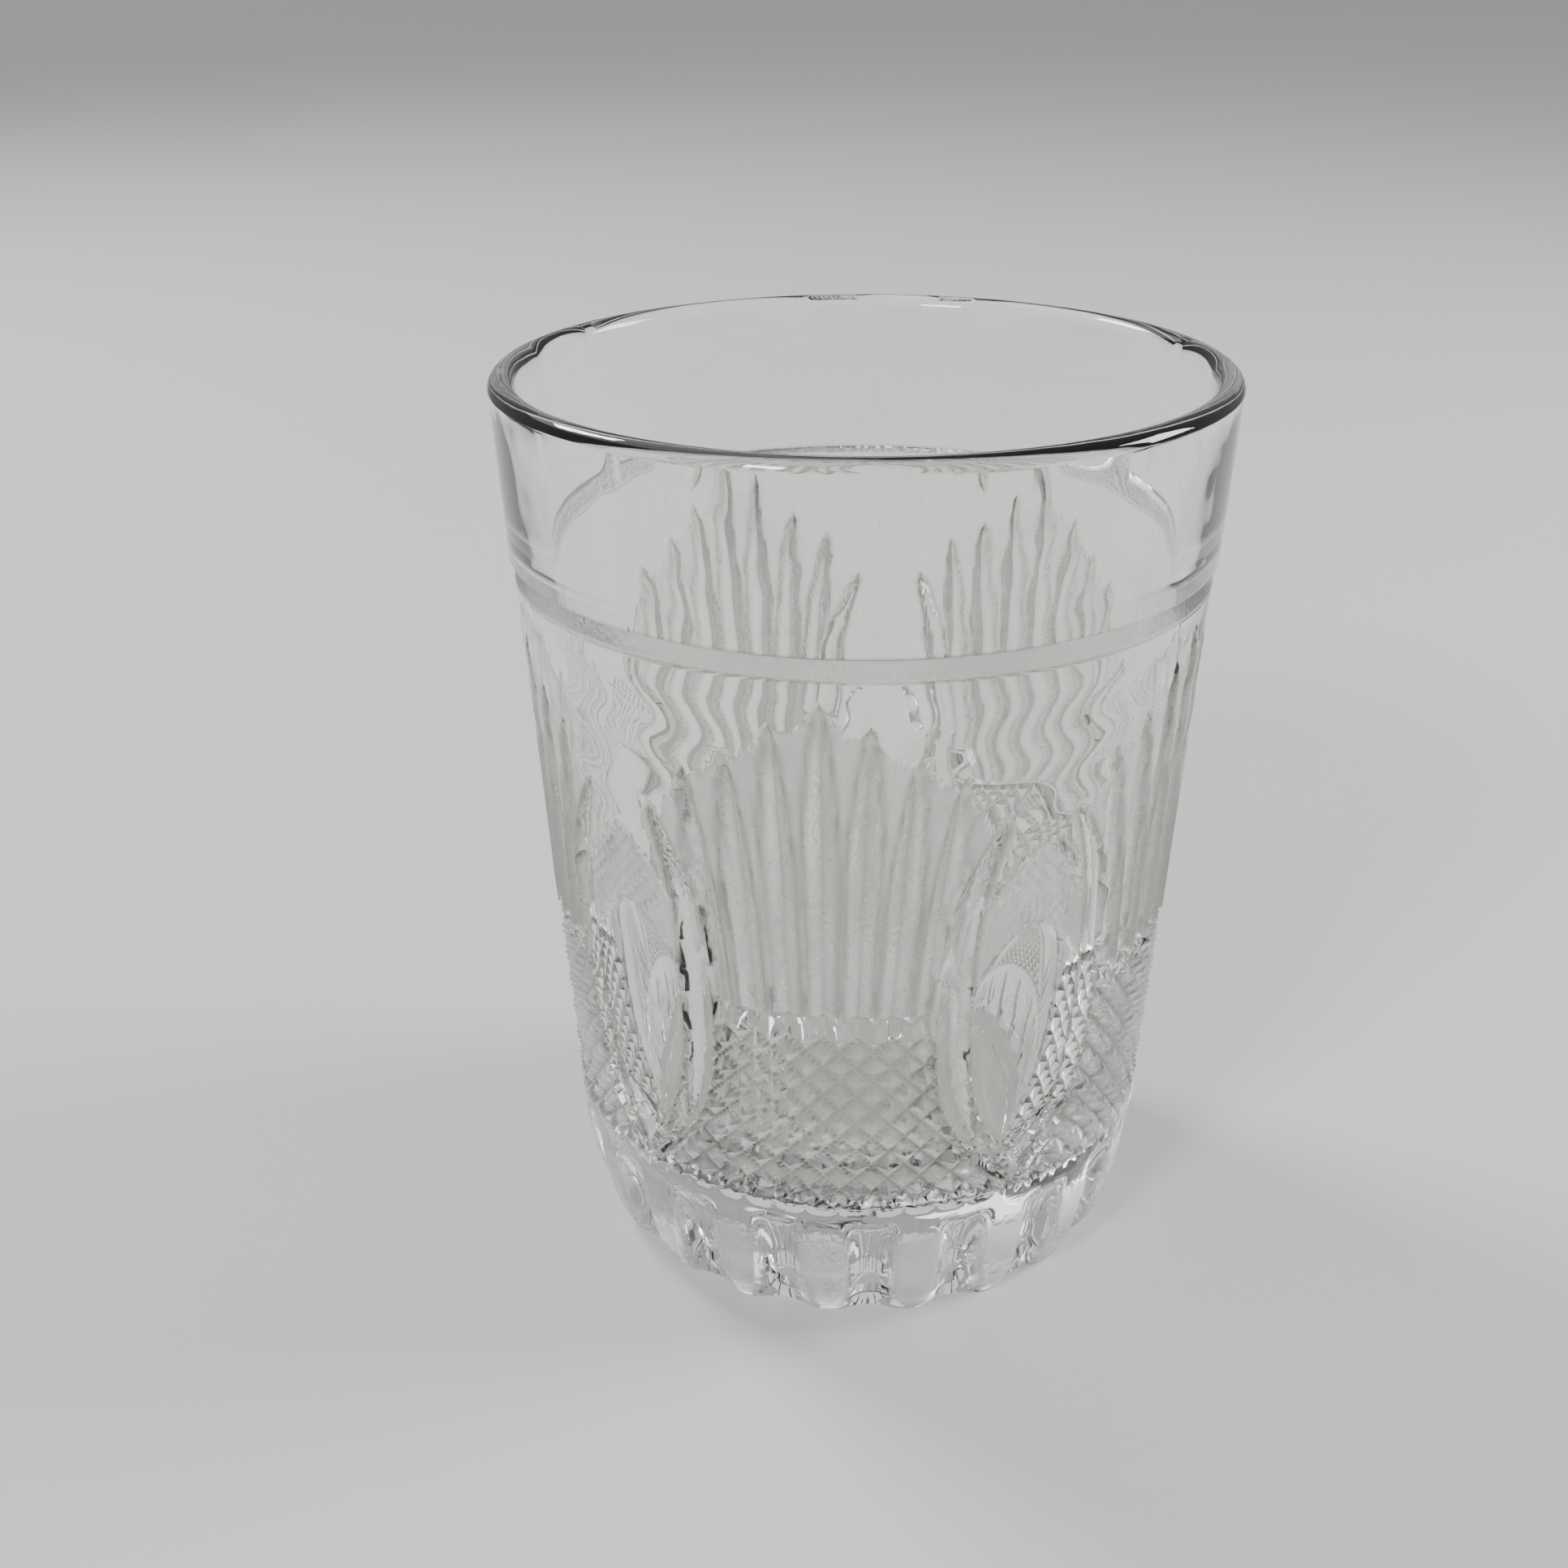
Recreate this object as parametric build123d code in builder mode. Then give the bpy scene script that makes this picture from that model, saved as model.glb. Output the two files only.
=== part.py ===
"""Pressed-glass whiskey tumbler: one solid piece of glass, millimetres, +Z up, foot on z = 0."""

from build123d import *
import os
from math import cos, radians, sin

os.makedirs("parts", exist_ok=True)

# Overall size
height = 94.0
rim_radius = 37.0
foot_radius = 28.2

# Outer wall: a plain band at the top, a groove under it, then a tapering patterned wall
lip_thickness = 2.8
band_bottom = 76.3
band_bottom_radius = 36.0
groove_height = 2.4
groove_depth = 0.9
groove_root = 0.5
wall_top_radius = 35.5
ledge_height = 38.0
ledge_radius = 33.35
shoulder_height = 15.0
shoulder_radius = 31.7
foot_edge = 1.2
foot_swell = 0.6
foot_swell_height = 2.4
foot_neck = 1.2
foot_neck_height = 8.0

# Hollow inside
floor_height = 10.0
floor_corner = 12.0
inside_bottom_radius = 27.6
inside_band_radius = 32.2

# Underside: a shallow round dish inside the flat resting ring
dish_radius = 20.0
dish_depth = 1.2

# Pattern: repeats of one fan, one panel and one almond-shaped hollow
repeats = 5
first_fan_angle = -96.0
blade_tip_heights = (71.7, 69.3, 66.0, 63.8, 59.0)
tip_spacing = 7.5
base_spacing = 6.0
blade_base = 38.7
blade_width = 3.3
blade_depth = 1.5
tip_width = 0.4
tool_reach = 2.5
outer_blade_base = 24.0
almond_bottom = 17.5
almond_top = 47.5
almond_width = 11.5
almond_depth = 1.6

# Foot: rounded lobes with hollow flutes between them
lobes = 20
flute_radius = 3.1
flute_inset = 1.1
flute_top = 8.6

repeat_angle = 360 / repeats
groove_bottom = band_bottom - groove_height


def wall_radius(z):
    """Outer radius of the plain patterned wall at height z."""
    if z > ledge_height:
        share = (z - ledge_height) / (groove_bottom - ledge_height)
        return ledge_radius + share * (wall_top_radius - ledge_radius)
    share = (z - shoulder_height) / (ledge_height - shoulder_height)
    return shoulder_radius + share * (ledge_radius - shoulder_radius)


def wall_point(angle, z):
    """Point on the plain wall at this angle and height."""
    return Vector(wall_radius(z) * cos(radians(angle)), wall_radius(z) * sin(radians(angle)), z)


def blade_section(place, along, width, depth):
    """Draw a V square to a blade: its point is this deep in the glass, its open side is outside."""
    outward = Vector(place.X, place.Y, 0).normalized()
    with BuildSketch(Plane(origin=place, x_dir=along.cross(outward), z_dir=along)) as section:
        half = width / 2 * (depth + tool_reach) / depth
        with BuildLine():
            Polyline((0, depth), (half, -tool_reach), (-half, -tool_reach), close=True)
        make_face()
    return section.sketch.face()


def cut_blade(base_angle, base_height, tip_angle, tip_height, width):
    """Cut one blade: a V groove that narrows to a point at its tip."""
    base = wall_point(base_angle, base_height)
    tip = wall_point(tip_angle, tip_height)
    along = (tip - base).normalized()
    wide = blade_section(base, along, width, blade_depth)
    narrow = blade_section(tip, along, tip_width, tip_width / width * blade_depth)
    loft(sections=[wide, narrow], mode=Mode.SUBTRACT)


def almond_plane(angle):
    """Plane that touches the wall halfway up an almond, its x level and its y up the wall."""
    low = wall_point(angle, almond_bottom)
    high = wall_point(angle, almond_top)
    sideways = Vector(-sin(radians(angle)), cos(radians(angle)), 0)
    return Plane(origin=(low + high) / 2, x_dir=sideways, z_dir=sideways.cross(high - low))


with BuildPart() as pressed_glass_body:
    with BuildSketch(Plane.XZ):
        with BuildLine():
            Polyline(
                (0, dish_depth),
                (dish_radius - dish_depth, dish_depth),
                (dish_radius, 0),
                (foot_radius - foot_edge, 0),
            )
            Spline(
                (foot_radius - foot_edge, 0),
                (foot_radius + foot_swell, foot_swell_height),
                (shoulder_radius - foot_neck, foot_neck_height),
                (shoulder_radius, shoulder_height),
                tangents=[(1, 0.35), (0.06, 1)],
            )
            Polyline(
                (shoulder_radius, shoulder_height),
                (ledge_radius, ledge_height),
                (wall_top_radius, groove_bottom),
                (band_bottom_radius - groove_depth, band_bottom - groove_root),
                (band_bottom_radius, band_bottom),
                (rim_radius, height - lip_thickness / 2),
            )
            ThreePointArc(
                (rim_radius, height - lip_thickness / 2),
                (rim_radius - lip_thickness / 2, height),
                (rim_radius - lip_thickness, height - lip_thickness / 2),
            )
            FilletPolyline(
                (rim_radius - lip_thickness, height - lip_thickness / 2),
                (inside_band_radius, band_bottom),
                (inside_bottom_radius, floor_height),
                (0, floor_height),
                radius=floor_corner,
            )
            Line((0, floor_height), (0, dish_depth))
        make_face()
    revolve(axis=Axis.Z)

    # Foot flutes: upright hollows with rounded tops, between the lobes
    flute_centre = foot_radius + flute_radius - flute_inset
    with PolarLocations(flute_centre, lobes, start_angle=first_fan_angle + 180 / lobes):
        Cylinder(
            flute_radius, flute_top, align=(Align.CENTER, Align.CENTER, Align.MIN), mode=Mode.SUBTRACT
        )
    with Locations((0, 0, flute_top)):
        with PolarLocations(flute_centre, lobes, start_angle=first_fan_angle + 180 / lobes):
            Sphere(flute_radius, mode=Mode.SUBTRACT)

    # Fans: nine narrow blades that spread upwards, the middle one the tallest
    middle = len(blade_tip_heights) - 1
    for repeat in range(repeats):
        fan_angle = first_fan_angle + repeat * repeat_angle
        for blade in range(-middle, middle + 1):
            is_outer = abs(blade) == middle
            cut_blade(
                fan_angle + blade * base_spacing,
                outer_blade_base if is_outer else blade_base,
                fan_angle + blade * tip_spacing,
                blade_tip_heights[abs(blade)],
                blade_width,
            )

    # Almonds: pointed hollows between the fans, cut square to the wall
    for repeat in range(repeats):
        almond_angle = first_fan_angle + (repeat + 0.5) * repeat_angle
        half_length = (almond_top - almond_bottom) / 2
        with BuildSketch(almond_plane(almond_angle).offset(-almond_depth)):
            with BuildLine():
                ThreePointArc((0, -half_length), (almond_width / 2, 0), (0, half_length))
                ThreePointArc((0, half_length), (-almond_width / 2, 0), (0, -half_length))
            make_face()
        extrude(amount=almond_depth + tool_reach, mode=Mode.SUBTRACT)

pressed_glass_body.part.label = "pressed_glass_body"
export_step(pressed_glass_body.part, "parts/pressed_glass_body.step")
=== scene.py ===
import math
from collections import namedtuple

import bpy
import numpy as np
from mathutils import Matrix, Vector


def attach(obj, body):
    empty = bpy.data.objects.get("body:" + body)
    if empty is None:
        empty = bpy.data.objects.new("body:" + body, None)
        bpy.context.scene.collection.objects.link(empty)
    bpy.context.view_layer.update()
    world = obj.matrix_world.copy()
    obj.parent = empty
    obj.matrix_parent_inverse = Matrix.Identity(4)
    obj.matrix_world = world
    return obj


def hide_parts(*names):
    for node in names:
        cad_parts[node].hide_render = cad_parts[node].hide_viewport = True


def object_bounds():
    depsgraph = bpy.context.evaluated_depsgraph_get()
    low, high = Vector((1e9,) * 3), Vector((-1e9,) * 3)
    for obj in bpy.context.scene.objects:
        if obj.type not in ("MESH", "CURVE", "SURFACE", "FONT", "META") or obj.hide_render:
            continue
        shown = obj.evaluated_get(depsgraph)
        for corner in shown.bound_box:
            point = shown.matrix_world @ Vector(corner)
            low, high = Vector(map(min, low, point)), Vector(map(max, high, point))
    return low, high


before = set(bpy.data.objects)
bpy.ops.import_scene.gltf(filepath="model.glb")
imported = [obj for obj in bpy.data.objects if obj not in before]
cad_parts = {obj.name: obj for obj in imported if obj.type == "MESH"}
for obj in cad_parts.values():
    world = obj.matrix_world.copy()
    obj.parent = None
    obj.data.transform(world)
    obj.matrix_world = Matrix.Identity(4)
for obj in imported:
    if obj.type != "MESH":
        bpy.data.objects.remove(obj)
cad_low, cad_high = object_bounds()

# Sizes below are in millimetres and angles in degrees; the meshes and the scene are in metres.
MM = 0.001

# The floor lies this far under the foot, so that the two faces don't coincide
FLOOR_GAP = 0.03
FLOOR_HALF_SIZE_M = 30.0

# The outline of the glass. The foot swells outwards above its edge, by FOOT_SWELL at FOOT_HEIGHTS
HEIGHT = (cad_high.z - cad_low.z) / MM
RIM_RADIUS = (cad_high.x - cad_low.x) / 2 / MM
FOOT_RADIUS = 28.2
FOOT_EDGE_Z = 1
FOOT_HEIGHTS = (0, 1.2, 3.0, 6.0, 10.0)
FOOT_SWELL = (0, 0.7, 1.5, 2.3, 3.0)
LIP_THICKNESS = 2.8
LIP_BOTTOM = HEIGHT - LIP_THICKNESS / 2
BAND_BOTTOM = 76.3
BAND_RADIUS = 36.0
GROOVE_HEIGHT = 2.4
GROOVE_DEPTH = 0.9
GROOVE_UNDERCUT = 0.5
GROOVE_BOTTOM = BAND_BOTTOM - GROOVE_HEIGHT
GROOVE_ROOT = BAND_BOTTOM - GROOVE_UNDERCUT
WALL_TOP_RADIUS = 35.5
LEDGE_Z = 38.0
LEDGE_RADIUS = 33.35
SHOULDER_Z = 15.0
SHOULDER_RADIUS = 31.7

# Hollow inside, and the rings of the flat underside with its shallow dish: (radius, height)
FLOOR_Z = 10.0
FLOOR_CORNER = 12.0
CORNER_TOP = FLOOR_Z + FLOOR_CORNER
INSIDE_FLOOR_RADIUS = 28.0
INSIDE_BAND_RADIUS = 32.2
FLOOR_RINGS = (11, 6)
DISH_DEPTH = 1.2
UNDERSIDE = (
    (6, 1.2), (12, 1.2), (17, 1.2), (18.6, 1.2), (19.4, 0.7),
    (20, 0.05), (20.6, 0), (23, 0), (25.5, 0),
)

# The pattern: one repeat is a fan over a panel, and half an almond on each side of it
REPEATS = 5
REPEAT_ANGLE = 360 / REPEATS
FIRST_FAN = -96.0
COLUMNS = 96
COLUMN_ANGLE = REPEAT_ANGLE / COLUMNS

# Blades of the fan, from the middle one outwards
BLADE_COLUMNS = 8
INNER_BLADES = 3
BLADE_TIPS = (71.7, 69.3, 66.0, 63.8)
BLADE_DEPTH = 1.9
BLADE_EDGE = 0.5
BLADE_TAPER = 16.0
BLADE_FILL = 0.98
TOP_SPREAD = 1.3

# The outer blade, or rib, which curves down between the fan and the almond
RIB_TIP = 59.0
RIB_BOTTOM = 16.5
RIB_TAPER = 9.0
RIB_HALF_WIDTH = 3.1
RIB_DEPTH = 1.6
RIB_GAP = 13.8
RIB_SPREAD = 7.2
RIB_CLOSED_GAP = 0.6
RIB_MIDDLE = 41.0
RIB_UPPER_BEND = 2.2
RIB_LOWER_BEND = 3.4
RIB_EDGE_SHARE = 0.9

# Panel of diamond points under the fan, closed at its top by a sloping ledge
DIAMOND_COLUMNS = 4
DIAMOND_ROW = 1.7
DIAMOND_DEPTH = 1.1
PANEL_TOP = 35.8
PANEL_BOTTOM = 15.6
PANEL_FADE = 0.8
LEDGE_DEPTH = 1.7
LEDGE_SLOPE_BOTTOM = PANEL_TOP - 0.2
LEDGE_SLOPE_TOP = LEDGE_Z - 0.3

ALMOND_BOTTOM = 17.5
ALMOND_TOP = 47.5
ALMOND_DEPTH = 2.0
ALMOND_OUTLINE = 5
ALMOND_FULLNESS = 4
ALMOND_NARROWEST = 0.01

HATCH_BOTTOM = ALMOND_TOP - 6
HATCH_TOP = 55.5
HATCH_ARCH = 6.0
HATCH_DEPTH = 0.35
HATCH_COLUMNS = 2
HATCH_ROW = 0.8
HATCH_NARROWEST = 0.1

# Foot: rounded lobes with hollow flutes between them
LOBES = 20
LOBE_ANGLE = 360 / LOBES
FLUTE_DEPTH = 2.2
FLUTE_TOP = 13.4
FLUTE_ROUNDING = 6.0
FLUTE_REACH = 0.92
FLUTE_FOOT_SHARE = 0.5
CREST_SHARE = 0.34
CREST_STARTS = -1
CREST_FULL = 5

# How satin each pressed surface is, from 0 (fire-polished) to 1
GROUND_BELOW_TIPS = 1.5
SATIN_GROUND = 1.0
SATIN_BLADE = 0.5
SATIN_DIAMOND = 0.32
SATIN_RIB = 0.12
SATIN_HATCH = 0.6
SATIN_LOBE = 0.6
SATIN_GROOVE = 0.9

# The lobes are scuffed where they stand out: where that starts and where it is full, by the
# depth of the cut, and by height at the bottom and at the top
SCUFF_CUT = (0.9, 0.2)
SCUFF_LOW = (0.4, 1.5)
SCUFF_HIGH = (FLUTE_TOP - 1, FLUTE_TOP - 3)

# How much painted shade darkens a line, from 0 to 1, and how wide the lines are: in half spacings
# of the blades, then in degrees on the ribs, then in millimetres by the groove
PAINTED_SHADE_MIDDLE = 0.45
PAINTED_SHADE_DIAMOND = 0.95
PAINTED_SHADE_GROOVE = 0.75
BLADE_LINE_INSET = 0.1
BLADE_EDGE_LINE = 0.28
BLADE_MIDDLE_LINE = 0.2
BLADE_LINE_STARTS = 0.2
RIB_EDGE_LINE = 1.3 * COLUMN_ANGLE
RIB_MIDDLE_LINE = 0.8 * COLUMN_ANGLE
RIB_LINE_STARTS = 0.3
GROOVE_LINE = 0.05
PIT_SHARPNESS = 4

# A surface cut deeper than this is part of a blade, an almond or the groove
CUT_DEPTH = 0.04

# The unevenness of the walls: each wave's size, waves round the glass, drift with height and
# share of the seed
SWAY_WAVES = ((0.040, 2, 0.04, 1.0), (0.020, 5, -0.06, 2.1), (0.008, 9, 0.11, 0.7))
OUTER_SWAY_SEED = 1.0
INNER_SWAY_SEED = 4.0
INNER_SWAY = 1.4
OUTER_INSET = 0.1
RIPPLE = 0.05
RIPPLE_PITCH = 6.5
RIPPLE_WANDER = 1.5
RIPPLE_WANDERS = 3
RIPPLE_STARTS, RIPPLE_FULL = 52, 58
RIPPLE_FADES, RIPPLE_ENDS = 73, 76

# Rings of the outer wall: their spacing on the foot, and heights by the ledge and the groove
FOOT_RING_STEP = 0.6
LEDGE_RINGS = (PANEL_TOP + 0.5, LEDGE_SLOPE_TOP, LEDGE_Z, LEDGE_Z + 0.12, LEDGE_Z + 0.5)
GROOVE_RINGS = (
    GROOVE_BOTTOM - 0.3, GROOVE_BOTTOM, GROOVE_BOTTOM + 0.3,
    GROOVE_ROOT - 0.1, GROOVE_ROOT, BAND_BOTTOM, BAND_BOTTOM + 0.3,
)
BLADE_RINGS_FROM, BLADE_RINGS_TO = LEDGE_Z + 0.9, BLADE_TIPS[0] + 0.4
BLADE_RINGS = 44
BAND_RINGS_FROM, BAND_RINGS = BAND_BOTTOM + 3, 6

# Counts of the other rings, and the angle from which an edge of the glass is sharp
LIP_RINGS = 15
INSIDE_BAND_RINGS = 7
INSIDE_WALL_RINGS = 20
CORNER_RINGS = 13
SHARP_ANGLE = 24

CLEAR_COLOUR = (0.985, 0.98, 0.965, 1)
# painted shade: the dark colour laid along the edges and middles of the cuts, in the pits and by
# the groove
PAINTED_SHADE_COLOUR = (0.25, 0.235, 0.21, 1)
GLASS_IOR = 1.5
SATIN_ROUGHNESS = 0.5
POLISHED_ROUGHNESS = 0.015
SCRATCH_ROUGHNESS = 0.07

# The stretches of noise that make the uneven patches and the scratches, and how uneven it gets
PATCH_NOISE = (0.35, 0.65)
PATCH_SHARE = (0.75, 1.1)
SCRATCH_NOISE = (0.62, 0.72)
WAVE_SHARE = 0.3

# The camera in front of the tumbler, in metres and degrees
CAMERA_DISTANCE = 0.1924
CAMERA_LIFT = 0.1361
CAMERA_PITCH, CAMERA_YAW, CAMERA_ROLL = 24.553, -2.435, -0.433
CAMERA_SENSOR = 36.0
CAMERA_LENS = 44.78
CAMERA_CLIP = 0.01

# Soft square lamps, in metres and watts: name, place, width and power; all look at the tumbler
LAMPS = (
    ("key", (-0.6, 0.5, 0.8), 0.26, 9),
    ("front", (-0.42, -0.72, 0.65), 0.2, 6),
    ("fill", (0.75, 0.15, 0.45), 0.3, 7),
)
LAMP_TARGET = (0, 0, 0.05)
SUN_PLACE = (-0.5, 0.6, 1.0)
SUN_STRENGTH = 0.9
SUN_WIDTH = 50
SKY_COLOUR = (0.8, 0.81, 0.82, 1)
SKY_STRENGTH = 0.48
FLOOR_COLOUR = (0.52, 0.52, 0.51, 1)
FLOOR_ROUGHNESS = 0.75

# Every column of the mesh, counted from the middle of its own fan, and the angle of that fan
COUNT = COLUMNS * REPEATS
ALL_COLUMNS = np.tile(np.arange(COLUMNS) - COLUMNS / 2, REPEATS)
FAN_ANGLES = FIRST_FAN + REPEAT_ANGLE * np.repeat(np.arange(REPEATS), COLUMNS)
EVEN_ANGLES = FAN_ANGLES + ALL_COLUMNS * COLUMN_ANGLE
BACK_GAP = FIRST_FAN + REPEATS / 2 * REPEAT_ANGLE
IN_BACK_GAP = np.abs(EVEN_ANGLES - BACK_GAP) < REPEAT_ANGLE / 2


def between(x, low, high):
    """0 at low, 1 at high, and held there outside them; low may be the larger."""
    return np.clip((x - low) / (high - low), 0.0, 1.0)


def smooth(t):
    return t * t * (3 - 2 * t)


def line(distance, width):
    """1 on a line, falling to 0 at this distance from it."""
    return np.maximum(0, 1 - distance / width)


def wall_radius(z):
    """Outer radius of the glass at height z, before anything is cut into it."""
    heights = FOOT_HEIGHTS + (SHOULDER_Z, LEDGE_Z, GROOVE_BOTTOM, BAND_BOTTOM, LIP_BOTTOM)
    foot = tuple(FOOT_RADIUS + swell for swell in FOOT_SWELL)
    radii = foot + (SHOULDER_RADIUS, LEDGE_RADIUS, WALL_TOP_RADIUS, BAND_RADIUS, RIM_RADIUS)
    return np.interp(z, heights, radii)


def from_almond(angle):
    """Degrees from the middle of the nearest almond."""
    return REPEAT_ANGLE / 2 - np.abs(angle)


def rib_offset(z):
    """How far the middle of the rib stands from the middle of the almond, in degrees."""
    above = np.maximum(z - RIB_MIDDLE, 0) / (RIB_TIP - RIB_MIDDLE)
    below = np.maximum(RIB_MIDDLE - z, 0) / (RIB_MIDDLE - RIB_BOTTOM)
    closing = RIB_GAP - RIB_CLOSED_GAP
    return RIB_GAP - RIB_SPREAD * above**RIB_UPPER_BEND - closing * below**RIB_LOWER_BEND


def column_angle(column, z):
    """Degrees from the middle of the fan. Above the ledge the columns spread with the blades."""
    half = COLUMNS / 2
    c = np.abs(column)
    spread = 1 + (TOP_SPREAD - 1) * between(z, LEDGE_Z, BLADE_TIPS[0])
    fan_edge = (INNER_BLADES + 0.5) * BLADE_COLUMNS
    inside = c * COLUMN_ANGLE * spread
    edge_angle = fan_edge * COLUMN_ANGLE * spread
    beyond = (c - fan_edge) / (half - fan_edge) * (half * COLUMN_ANGLE - edge_angle)
    return np.sign(column) * np.where(c < fan_edge, inside, edge_angle + beyond)


def blade_parts(column, z):
    """The nearest blade's half width here and the distance from its middle, in half spacings."""
    c = np.abs(column)
    blade = np.minimum(np.round(c / BLADE_COLUMNS), INNER_BLADES).astype(int)
    tip = np.take(np.array(BLADE_TIPS), blade)
    across = np.abs(c - blade * BLADE_COLUMNS) / (BLADE_COLUMNS / 2)
    return np.sqrt(between(tip - z, 0, BLADE_TAPER)) * BLADE_FILL, across


def blade_cut(column, z):
    """Depth of the blades of the fan: V grooves with a steep edge, which end in a point."""
    width, across = blade_parts(column, z)
    inside = np.maximum(width - across, 0)
    edge = BLADE_EDGE * between(inside, 0, 1 / (BLADE_COLUMNS / 2))
    return np.where(z > LEDGE_Z, (BLADE_DEPTH - BLADE_EDGE) * inside + edge, 0)


def rib_parts(angle, z):
    """The rib's half width here and the distance from its middle, in degrees."""
    upper = np.sqrt(between(RIB_TIP - z, 0, BLADE_TAPER))
    lower = np.sqrt(between(z - RIB_BOTTOM, 0, RIB_TAPER))
    across = np.abs(from_almond(angle) - rib_offset(z))
    return RIB_HALF_WIDTH * np.minimum(upper, lower), across


def rib_cut(angle, z):
    """Depth of the rib, a V groove like the other blades."""
    width, across = rib_parts(angle, z)
    inside = np.maximum(width - across, 0)
    edge = BLADE_EDGE * between(inside, 0, COLUMN_ANGLE)
    return (RIB_DEPTH - BLADE_EDGE) * inside / RIB_HALF_WIDTH + edge


def in_almond_field(angle, z):
    """True on the almond's side of the rib."""
    return from_almond(angle) < rib_offset(z) - RIB_HALF_WIDTH * RIB_EDGE_SHARE


def in_fan_field(angle, z):
    """True on the fan's side of the rib."""
    return from_almond(angle) > rib_offset(z) + RIB_HALF_WIDTH * RIB_EDGE_SHARE


def crossed_grooves(across, up, start):
    """0 on the points between two sets of slanting grooves, 1 along the grooves."""
    first = np.abs((across + up + start) % 2 - 1)
    second = np.abs((across - up + start) % 2 - 1)
    return 1 - np.minimum(first, second)


def diamond_cut(column, z):
    """Depth of the grooves between the diamond points; the points themselves are uncut."""
    rows = (z - PANEL_TOP) / DIAMOND_ROW
    return DIAMOND_DEPTH * crossed_grooves(column / DIAMOND_COLUMNS, rows, 1)


def panel_cut(column, z):
    """The diamond field, which fades out at its bottom, and the ledge over it."""
    fade = between(z, PANEL_BOTTOM, PANEL_BOTTOM + PANEL_FADE)
    ledge = between(z, LEDGE_SLOPE_BOTTOM, LEDGE_SLOPE_TOP) * LEDGE_DEPTH
    return np.where(z <= LEDGE_Z, np.maximum(diamond_cut(column, z) * fade, ledge), 0)


def almond_cut(angle, z):
    """Depth of the almond: a smooth hollow, pointed at both ends."""
    middle = (ALMOND_BOTTOM + ALMOND_TOP) / 2
    along = np.clip(np.abs(z - middle) / (ALMOND_TOP - middle), 0, 1)
    half_width = (rib_offset(z) - RIB_HALF_WIDTH) * (1 - along**ALMOND_OUTLINE)
    across = from_almond(angle) / np.maximum(half_width, ALMOND_NARROWEST)
    inside = (along < 1) & (across < 1)
    round_across = np.sqrt(np.maximum(1 - across**2, 0))
    round_along = np.sqrt(1 - along**ALMOND_FULLNESS)
    return np.where(inside, ALMOND_DEPTH * round_across * round_along, 0)


def in_hatch(angle, z):
    """True in the hatched corner, from the almond's shoulders up to an arch between the ribs.

    The gap at the back has none.
    """
    across = from_almond(angle) / np.maximum(rib_offset(z) - RIB_HALF_WIDTH, HATCH_NARROWEST)
    below_arch = (z > HATCH_BOTTOM) & (z < HATCH_TOP - HATCH_ARCH * across**2)
    return in_almond_field(angle, z) & below_arch & ~IN_BACK_GAP


def hatch_cut(column, z):
    """Fine cross-hatching in the corner above the almond."""
    return HATCH_DEPTH * crossed_grooves(column / HATCH_COLUMNS, z / HATCH_ROW, 0)


def foot_cut(angle, z):
    """Depth of the hollow flutes between the lobes of the foot."""
    half = LOBE_ANGLE / 2
    from_crest = np.abs((angle + half) % LOBE_ANGLE - half) / half
    crest = CREST_SHARE * between(z, CREST_STARTS, CREST_FULL)
    t = np.clip((from_crest - crest) / (FLUTE_REACH - crest), 0, 1)
    rounded = np.sqrt(between(FLUTE_TOP - z, 0, FLUTE_ROUNDING))
    deepening = FLUTE_FOOT_SHARE + (1 - FLUTE_FOOT_SHARE) * between(z, 0, CREST_FULL)
    return FLUTE_DEPTH * rounded * deepening * smooth(t)


def groove_cut(z):
    """Depth of the groove below the plain band: a short undercut, then a slope that faces up."""
    above = between(BAND_BOTTOM - z, 0, GROOVE_UNDERCUT)
    below = between(z, GROOVE_BOTTOM, GROOVE_ROOT)
    return GROOVE_DEPTH * np.where(z > GROOVE_ROOT, above, below)


def relief(column, z):
    """Depth of everything that is pressed into the outer wall, in millimetres."""
    angle = column_angle(column, z)
    hollow = almond_cut(angle, z)
    hatched = in_hatch(angle, z) & (hollow == 0)
    almond = np.maximum(hollow, np.where(hatched, hatch_cut(column, z), 0))
    fan = np.maximum(blade_cut(column, z), panel_cut(column, z))
    fan = np.where(in_fan_field(angle, z) | (z < RIB_BOTTOM), fan, 0)
    body = np.where(in_almond_field(angle, z) & (z > ALMOND_BOTTOM), almond, fan)
    patterned = np.maximum(np.maximum(rib_cut(angle, z), body), groove_cut(z))
    return np.where(z < SHOULDER_Z, foot_cut(angle, z), patterned)


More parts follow.
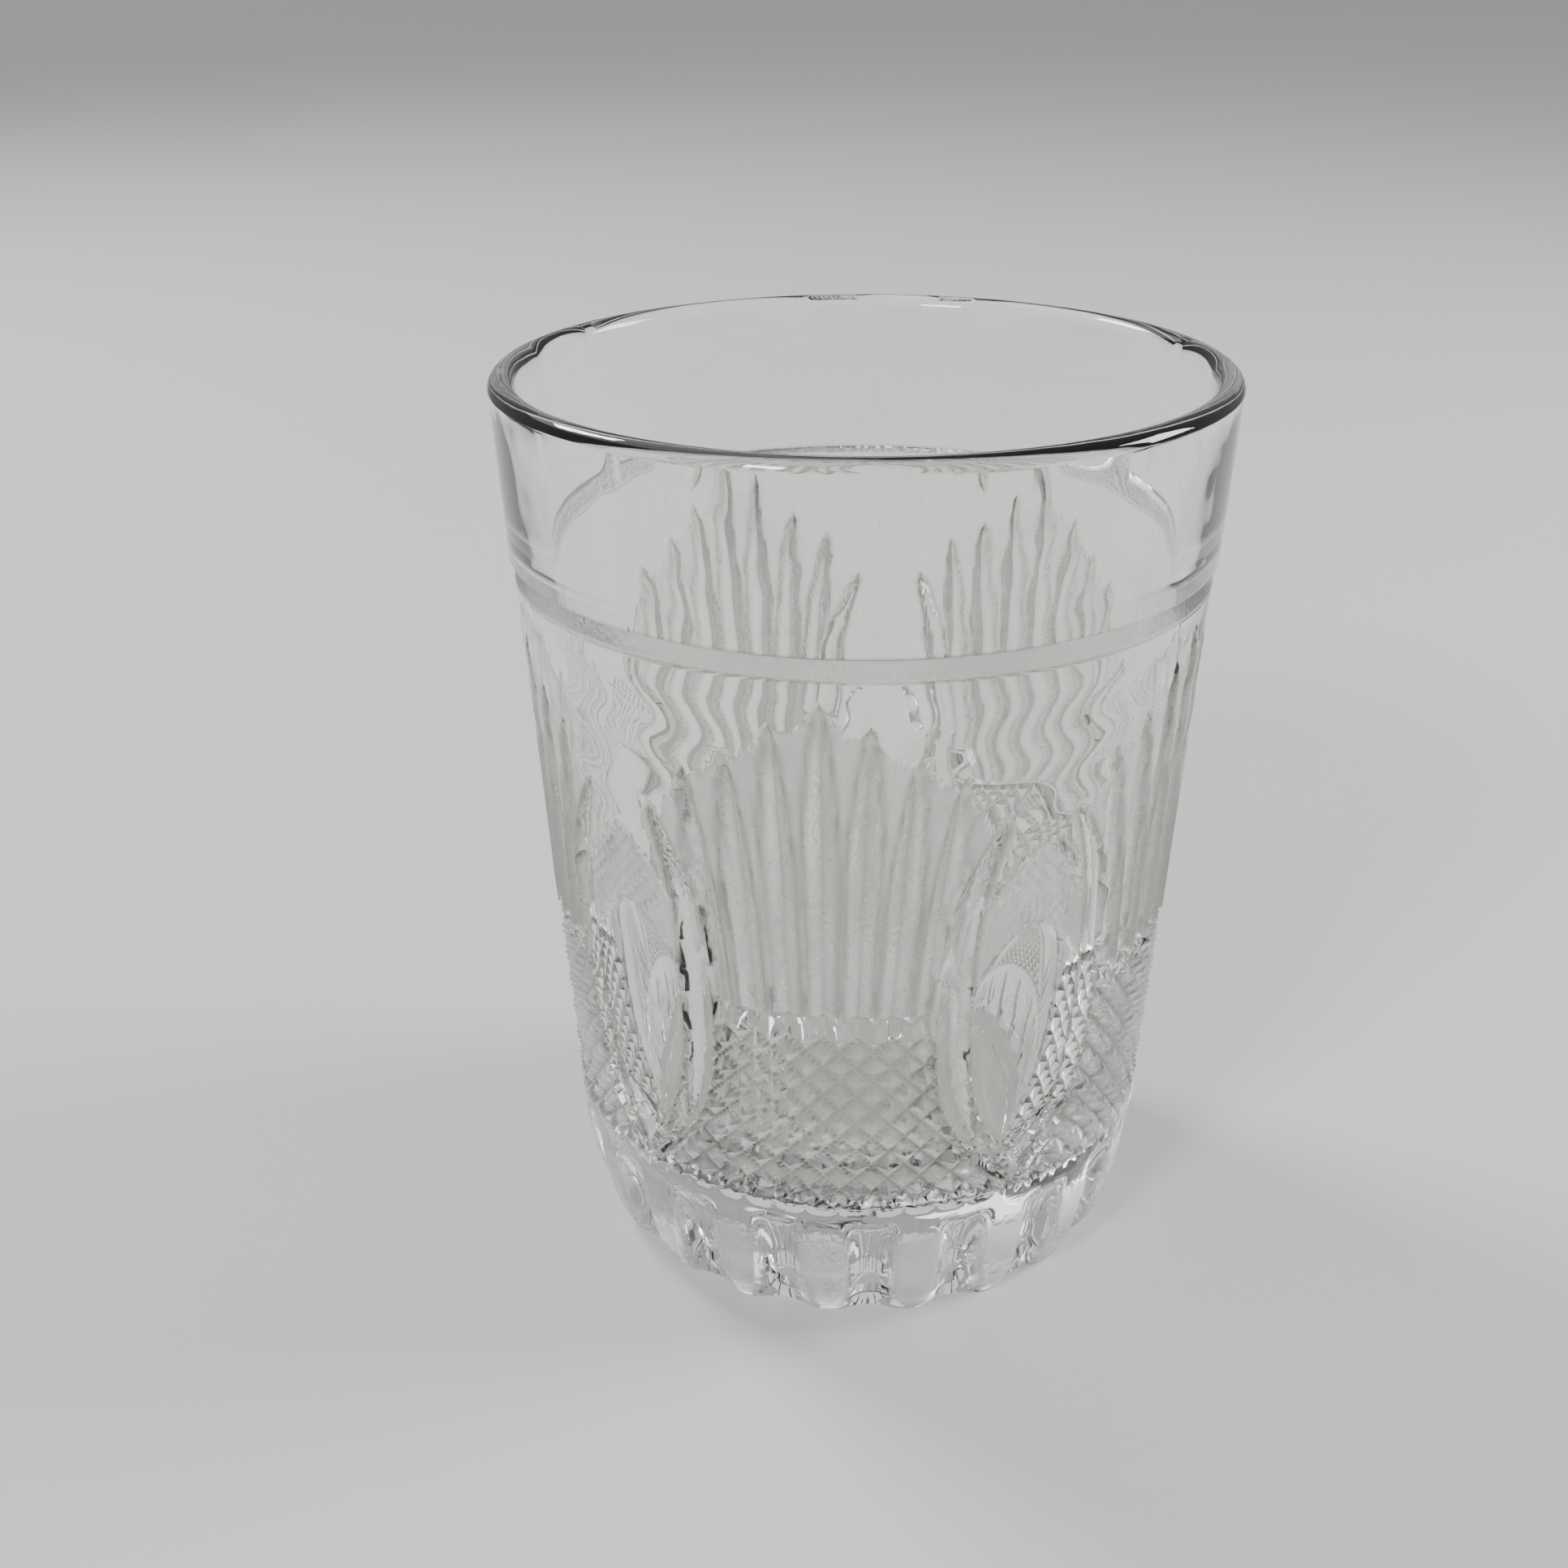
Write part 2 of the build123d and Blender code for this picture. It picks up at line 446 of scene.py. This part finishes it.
def satin_share(column, z):
    """How satin the surface is: 0 on fire-polished glass, 1 on the ground between the blades."""
    angle = column_angle(column, z)
    blades = range(len(BLADE_TIPS) + 1)
    tips = np.interp(np.abs(column) / BLADE_COLUMNS, blades, BLADE_TIPS + (RIB_TIP,))
    in_fan = (z > LEDGE_Z) & (z < tips - GROUND_BELOW_TIPS)
    satin = np.where(in_fan, SATIN_GROUND, 0.0)
    satin = np.where(blade_cut(column, z) > CUT_DEPTH, SATIN_BLADE, satin)
    satin = np.where((z < PANEL_TOP) & (z > PANEL_BOTTOM), SATIN_DIAMOND, satin)
    in_field = in_almond_field(angle, z) & (z > ALMOND_BOTTOM)
    satin = np.where(in_field, np.where(in_hatch(angle, z), SATIN_HATCH, 0.0), satin)
    satin = np.where(in_field & (almond_cut(angle, z) > CUT_DEPTH), 0.0, satin)
    satin = np.where(rib_cut(angle, z) > CUT_DEPTH, SATIN_RIB, satin)
    low, high = between(z, *SCUFF_LOW), between(z, *SCUFF_HIGH)
    scuffed = between(foot_cut(angle, z), *SCUFF_CUT) * low * high
    satin = np.where(z < FLUTE_TOP, SATIN_LOBE * scuffed, satin)
    return np.where(groove_cut(z) > CUT_DEPTH, SATIN_GROOVE, satin)


def painted_shade_share(column, z):
    """Where shade is painted as dark lines: along the blades and ribs, in the pits of the panel
    and beside the groove.
    """
    angle = column_angle(column, z)
    width, across = blade_parts(column, z)
    edge = line(np.abs(width - BLADE_LINE_INSET - across), BLADE_EDGE_LINE) * (width > 0)
    middle = PAINTED_SHADE_MIDDLE * line(across, BLADE_MIDDLE_LINE) * (width > BLADE_LINE_STARTS)
    in_fan = in_fan_field(angle, z)
    grime = np.where((z > LEDGE_Z) & in_fan, np.maximum(edge, middle), 0.0)
    pits = PAINTED_SHADE_DIAMOND * (diamond_cut(column, z) / DIAMOND_DEPTH) ** PIT_SHARPNESS
    grime = np.where((z < PANEL_TOP) & (z > PANEL_BOTTOM) & in_fan, pits, grime)
    width, across = rib_parts(angle, z)
    edge = line(np.abs(width - across), RIB_EDGE_LINE) * (width > RIB_LINE_STARTS)
    middle = PAINTED_SHADE_MIDDLE * line(across, RIB_MIDDLE_LINE) * (width > RIB_LINE_STARTS)
    grime = np.maximum(grime, np.maximum(edge, middle))
    from_groove_edge = np.minimum(np.abs(z - BAND_BOTTOM), np.abs(z - GROOVE_BOTTOM))
    return np.where(from_groove_edge < GROOVE_LINE, PAINTED_SHADE_GROOVE, grime)


def sway(angle, z, seed):
    """The slow unevenness of hand-pressed glass, about a twentieth of a millimetre."""
    a = np.radians(angle)
    return sum(
        size * np.sin(turns * a + drift * z + start * seed)
        for size, turns, drift, start in SWAY_WAVES
    )


def ripple(angle, z):
    """Faint level ripples that the mould left in the plain glass above the fans."""
    zone = between(z, RIPPLE_STARTS, RIPPLE_FULL) * between(z, RIPPLE_ENDS, RIPPLE_FADES)
    wander = RIPPLE_WANDER * np.sin(np.radians(RIPPLE_WANDERS * angle))
    return RIPPLE * zone * np.sin(2 * math.pi * z / RIPPLE_PITCH + wander)


def outer_rows():
    """Heights of the rings of the outer wall, closest where the pattern is finest."""
    foot = np.arange(0, SHOULDER_Z, FOOT_RING_STEP)
    panel = np.arange(PANEL_TOP, SHOULDER_Z, -DIAMOND_ROW / DIAMOND_COLUMNS)[::-1]
    blades = np.linspace(BLADE_RINGS_FROM, BLADE_RINGS_TO, BLADE_RINGS)
    band = np.linspace(BAND_RINGS_FROM, LIP_BOTTOM, BAND_RINGS)
    return np.concatenate([foot, panel, LEDGE_RINGS, blades, GROOVE_RINGS, band])


Ring = namedtuple("Ring", "radius angle z satin grime patterned")


def plain_ring(radius, z):
    """A ring of evenly spaced points on glass without a pattern."""
    none = np.zeros(COUNT)
    return Ring(none + radius, EVEN_ANGLES, float(z), none, none, False)


def outer_ring(z):
    """A ring of the outer wall, with the pattern pressed into it."""
    level = np.full(COUNT, z)
    angle = FAN_ANGLES + column_angle(ALL_COLUMNS, z)
    radius = wall_radius(z) - relief(ALL_COLUMNS, level)
    if z > SHOULDER_Z:
        # set in a little, so that the unevenness never leaves the outline
        radius = radius + sway(angle, z, OUTER_SWAY_SEED) + ripple(angle, z) - OUTER_INSET
    satin = satin_share(ALL_COLUMNS, level)
    # painted shade: how dark each point of the ring is painted along the lines of the pattern
    grime = painted_shade_share(ALL_COLUMNS, level)
    return Ring(radius, angle, float(z), satin, grime, True)


def lip_rings():
    """The half-round lip, from the outer wall over to the inner wall."""
    half = LIP_THICKNESS / 2
    return [
        plain_ring(RIM_RADIUS - half + half * math.cos(turn), LIP_BOTTOM + half * math.sin(turn))
        for turn in np.linspace(0, math.pi, LIP_RINGS)[1:]
    ]


def inside_rings():
    """The inner wall from the lip down, the round corner at its foot, and the floor."""
    rings = []
    band = np.linspace(LIP_BOTTOM, BAND_BOTTOM, INSIDE_BAND_RINGS)[1:]
    wall = np.linspace(BAND_BOTTOM, CORNER_TOP, INSIDE_WALL_RINGS)[1:]
    heights = (CORNER_TOP, BAND_BOTTOM, LIP_BOTTOM)
    radii = (INSIDE_FLOOR_RADIUS, INSIDE_BAND_RADIUS, RIM_RADIUS - LIP_THICKNESS)
    for z in np.concatenate([band, wall]):
        uneven = INNER_SWAY * sway(EVEN_ANGLES, z, INNER_SWAY_SEED)
        rings.append(plain_ring(np.interp(z, heights, radii) + uneven, z))
    for turn in np.linspace(0, math.pi / 2, CORNER_RINGS)[1:]:
        radius = INSIDE_FLOOR_RADIUS - FLOOR_CORNER * (1 - math.cos(turn))
        rings.append(plain_ring(radius, CORNER_TOP - FLOOR_CORNER * math.sin(turn)))
    return rings + [plain_ring(radius, FLOOR_Z) for radius in FLOOR_RINGS]


def ring_points(ring):
    turn = np.radians(ring.angle)
    level = np.full(COUNT, ring.z)
    return np.column_stack([ring.radius * np.cos(turn), ring.radius * np.sin(turn), level])


def ring_faces(lower, upper, start):
    """Two triangles for each cell between two rings; the lower ring's points begin at start."""
    index = np.arange(COUNT)
    following = (index + 1) % COUNT
    a, b = start + index, start + following
    c, d = b + COUNT, a + COUNT
    use_first = np.ones(COUNT, bool)
    if lower.patterned and upper.patterned and lower.z > FOOT_EDGE_Z:
        # each cell is split along the diagonal that lies nearer the true surface
        z = np.full(COUNT, (lower.z + upper.z) / 2)
        true = wall_radius(z) - relief(ALL_COLUMNS + 0.5, z)
        first = (lower.radius + np.roll(upper.radius, -1)) / 2
        second = (np.roll(lower.radius, -1) + upper.radius) / 2
        use_first = np.abs(first - true) <= np.abs(second - true)
    use_first = use_first[:, None]
    one = np.where(use_first, np.column_stack([a, b, c]), np.column_stack([a, b, d]))
    two = np.where(use_first, np.column_stack([a, c, d]), np.column_stack([b, c, d]))
    return [one, two]


def make_glass():
    """One closed mesh: underside, outer wall, lip, inner wall and floor, as rings of points."""
    rings = [plain_ring(radius, z) for radius, z in UNDERSIDE]
    rings += [outer_ring(z) for z in outer_rows()]
    rings += lip_rings() + inside_rings()

    poles = np.array([[0, 0, DISH_DEPTH], [0, 0, FLOOR_Z]])
    points = np.concatenate([ring_points(ring) for ring in rings] + [poles]) * MM
    bottom_pole = len(points) - 2
    top_pole = len(points) - 1

    faces = []
    for number, (lower, upper) in enumerate(zip(rings, rings[1:])):
        faces += ring_faces(lower, upper, number * COUNT)
    index = np.arange(COUNT)
    following = (index + 1) % COUNT
    last = (len(rings) - 1) * COUNT
    faces.append(np.column_stack([np.full(COUNT, bottom_pole), following, index]))
    faces.append(np.column_stack([last + index, last + following, np.full(COUNT, top_pole)]))

    mesh = bpy.data.meshes.new("pressed_glass")
    mesh.from_pydata(points.tolist(), [], np.concatenate(faces).tolist())
    at_poles = np.zeros(len(poles))
    # the satin share, and the painted shade along the lines of the pattern, go onto the points
    for name in ("satin", "grime"):
        shares = np.concatenate([getattr(ring, name) for ring in rings] + [at_poles])
        mesh.attributes.new(name, "FLOAT", "POINT").data.foreach_set("value", shares)
    mesh.validate()
    mesh.polygons.foreach_set("use_smooth", np.ones(len(mesh.polygons), bool))
    mesh.set_sharp_from_angle(angle=math.radians(SHARP_ANGLE))
    mesh.update()
    glass = bpy.data.objects.new("pressed_glass", mesh)
    bpy.context.scene.collection.objects.link(glass)
    return glass


def node(tree, kind, **values):
    """A new node with these properties and input values."""
    made = tree.nodes.new(kind)
    for name, value in values.items():
        if hasattr(made, name):
            setattr(made, name, value)
        else:
            made.inputs[name.replace("_", " ")].default_value = value
    return made


def noise(tree, place, **values):
    """Noise over these coordinates."""
    made = node(tree, "ShaderNodeTexNoise", **values)
    tree.links.new(place, made.inputs["Vector"])
    return made.outputs["Fac"]


def remap(tree, value, source, target):
    """The value, moved from one range to another."""
    made = node(tree, "ShaderNodeMapRange", From_Min=source[0], From_Max=source[1])
    made.inputs["To Min"].default_value, made.inputs["To Max"].default_value = target
    tree.links.new(value, made.inputs["Value"])
    return made.outputs["Result"]


def combine(tree, operation, first, second):
    """The sum or product of an output and another output or a number."""
    made = node(tree, "ShaderNodeMath", operation=operation)
    tree.links.new(first, made.inputs[0])
    if isinstance(second, float):
        made.inputs[1].default_value = second
    else:
        tree.links.new(second, made.inputs[1])
    return made.outputs["Value"]


def glass_material():
    """Clear pressed glass: slightly warm, satin where it was pressed, with fine old wear and
    painted shade along the lines of the pattern.
    """
    material = bpy.data.materials.new("clear_pressed_glass")
    material.use_nodes = True
    tree = material.node_tree
    shader = tree.nodes["Principled BSDF"]
    shader.inputs["Transmission Weight"].default_value = 1.0
    shader.inputs["IOR"].default_value = GLASS_IOR
    place = node(tree, "ShaderNodeTexCoord").outputs["Object"]
    satin = node(tree, "ShaderNodeAttribute", attribute_name="satin").outputs["Fac"]

    # clear glass, with painted shade: darker along the lines of the pattern, in the pits of the
    # panel and beside the groove
    grime = node(tree, "ShaderNodeAttribute", attribute_name="grime").outputs["Fac"]
    colour = node(tree, "ShaderNodeMix", data_type="RGBA")
    colour.inputs["A"].default_value = CLEAR_COLOUR
    colour.inputs["B"].default_value = PAINTED_SHADE_COLOUR
    tree.links.new(grime, colour.inputs["Factor"])
    tree.links.new(colour.outputs["Result"], shader.inputs["Base Color"])

    # the satin surface is rough, a little unevenly
    patches = noise(tree, place, Scale=180.0, Detail=2.0)
    patches = remap(tree, patches, PATCH_NOISE, PATCH_SHARE)
    frost = combine(tree, "MULTIPLY", satin, patches)
    frost = remap(tree, frost, (0.0, 1.0), (0.0, SATIN_ROUGHNESS))

    # old scratches: thin, nearly level lines that change the gloss only
    stretch = node(tree, "ShaderNodeMapping", Scale=(1, 1, 5))
    tree.links.new(place, stretch.inputs["Vector"])
    stretched = stretch.outputs["Vector"]
    scratches = noise(tree, stretched, Scale=420.0, Detail=4.0, Roughness=0.7)
    wear = remap(tree, scratches, SCRATCH_NOISE, (POLISHED_ROUGHNESS, SCRATCH_ROUGHNESS))
    tree.links.new(combine(tree, "ADD", frost, wear), shader.inputs["Roughness"])

    # fine grain on the satin surface, and soft waves over all of the glass
    grain = combine(tree, "MULTIPLY", noise(tree, place, Scale=1400.0, Detail=3.0), satin)
    waves = noise(tree, place, Scale=150.0, Detail=1.0)
    waves = combine(tree, "MULTIPLY", waves, WAVE_SHARE)
    bump = node(tree, "ShaderNodeBump", Strength=0.4, Distance=0.0006)
    tree.links.new(combine(tree, "ADD", grain, waves), bump.inputs["Height"])
    tree.links.new(bump.outputs["Normal"], shader.inputs["Normal"])
    return material


def floor_material():
    material = bpy.data.materials.new("pale_floor")
    material.use_nodes = True
    shader = material.node_tree.nodes["Principled BSDF"]
    shader.inputs["Base Color"].default_value = FLOOR_COLOUR
    shader.inputs["Roughness"].default_value = FLOOR_ROUGHNESS
    return material


def make_floor():
    size = FLOOR_HALF_SIZE_M
    corners = [(-size, -size, 0), (size, -size, 0), (size, size, 0), (-size, size, 0)]
    mesh = bpy.data.meshes.new("floor")
    mesh.from_pydata(corners, [], [(0, 1, 2, 3)])
    floor = bpy.data.objects.new("floor", mesh)
    floor.location.z = cad_low.z - FLOOR_GAP * MM
    floor.data.materials.append(floor_material())
    bpy.context.scene.collection.objects.link(floor)


def add_lamp(name, place, width, watts):
    """A soft square lamp that looks at the tumbler."""
    data = bpy.data.lights.new(name, "AREA")
    data.shape = "RECTANGLE"
    data.size = data.size_y = width
    data.energy = watts
    lamp = bpy.data.objects.new(name, data)
    lamp.location = place
    towards = Vector(LAMP_TARGET) - Vector(place)
    lamp.rotation_euler = towards.to_track_quat("-Z", "Y").to_euler()
    bpy.context.scene.collection.objects.link(lamp)


def add_sun():
    """Daylight without shadows, which also lights the floor that is seen through the glass."""
    data = bpy.data.lights.new("day", "SUN")
    data.energy = SUN_STRENGTH
    data.angle = math.radians(SUN_WIDTH)
    data.use_shadow = False
    lamp = bpy.data.objects.new("day", data)
    lamp.rotation_euler = (-Vector(SUN_PLACE)).to_track_quat("-Z", "Y").to_euler()
    bpy.context.scene.collection.objects.link(lamp)


def add_camera():
    """The camera stands in front of the tumbler, above it, and looks down past its middle."""
    pitch, yaw, roll = (math.radians(v) for v in (CAMERA_PITCH, CAMERA_YAW, CAMERA_ROLL))
    forward = Vector((
        math.sin(yaw) * math.cos(pitch),
        math.cos(yaw) * math.cos(pitch),
        -math.sin(pitch),
    ))
    right = Vector((math.cos(yaw), -math.sin(yaw), 0))
    up = right.cross(forward)
    rolled_right = math.cos(roll) * right + math.sin(roll) * up
    rolled_up = math.cos(roll) * up - math.sin(roll) * right
    data = bpy.data.cameras.new("camera")
    data.sensor_width = CAMERA_SENSOR
    data.lens = CAMERA_LENS
    data.clip_start = CAMERA_CLIP
    camera = bpy.data.objects.new("camera", data)
    turn = Matrix((rolled_right, rolled_up, -forward)).transposed().to_4x4()
    camera.matrix_world = Matrix.Translation((0, -CAMERA_DISTANCE, CAMERA_LIFT)) @ turn
    bpy.context.scene.collection.objects.link(camera)
    bpy.context.scene.camera = camera


def set_world():
    world = bpy.data.worlds.new("studio")
    world.use_nodes = True
    background = world.node_tree.nodes["Background"]
    background.inputs["Color"].default_value = SKY_COLOUR
    background.inputs["Strength"].default_value = SKY_STRENGTH
    bpy.context.scene.world = world


glass = make_glass()
glass.data.materials.append(glass_material())
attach(glass, "root")
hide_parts("pressed_glass_body")

make_floor()
set_world()
add_sun()
for lamp in LAMPS:
    add_lamp(*lamp)
add_camera()
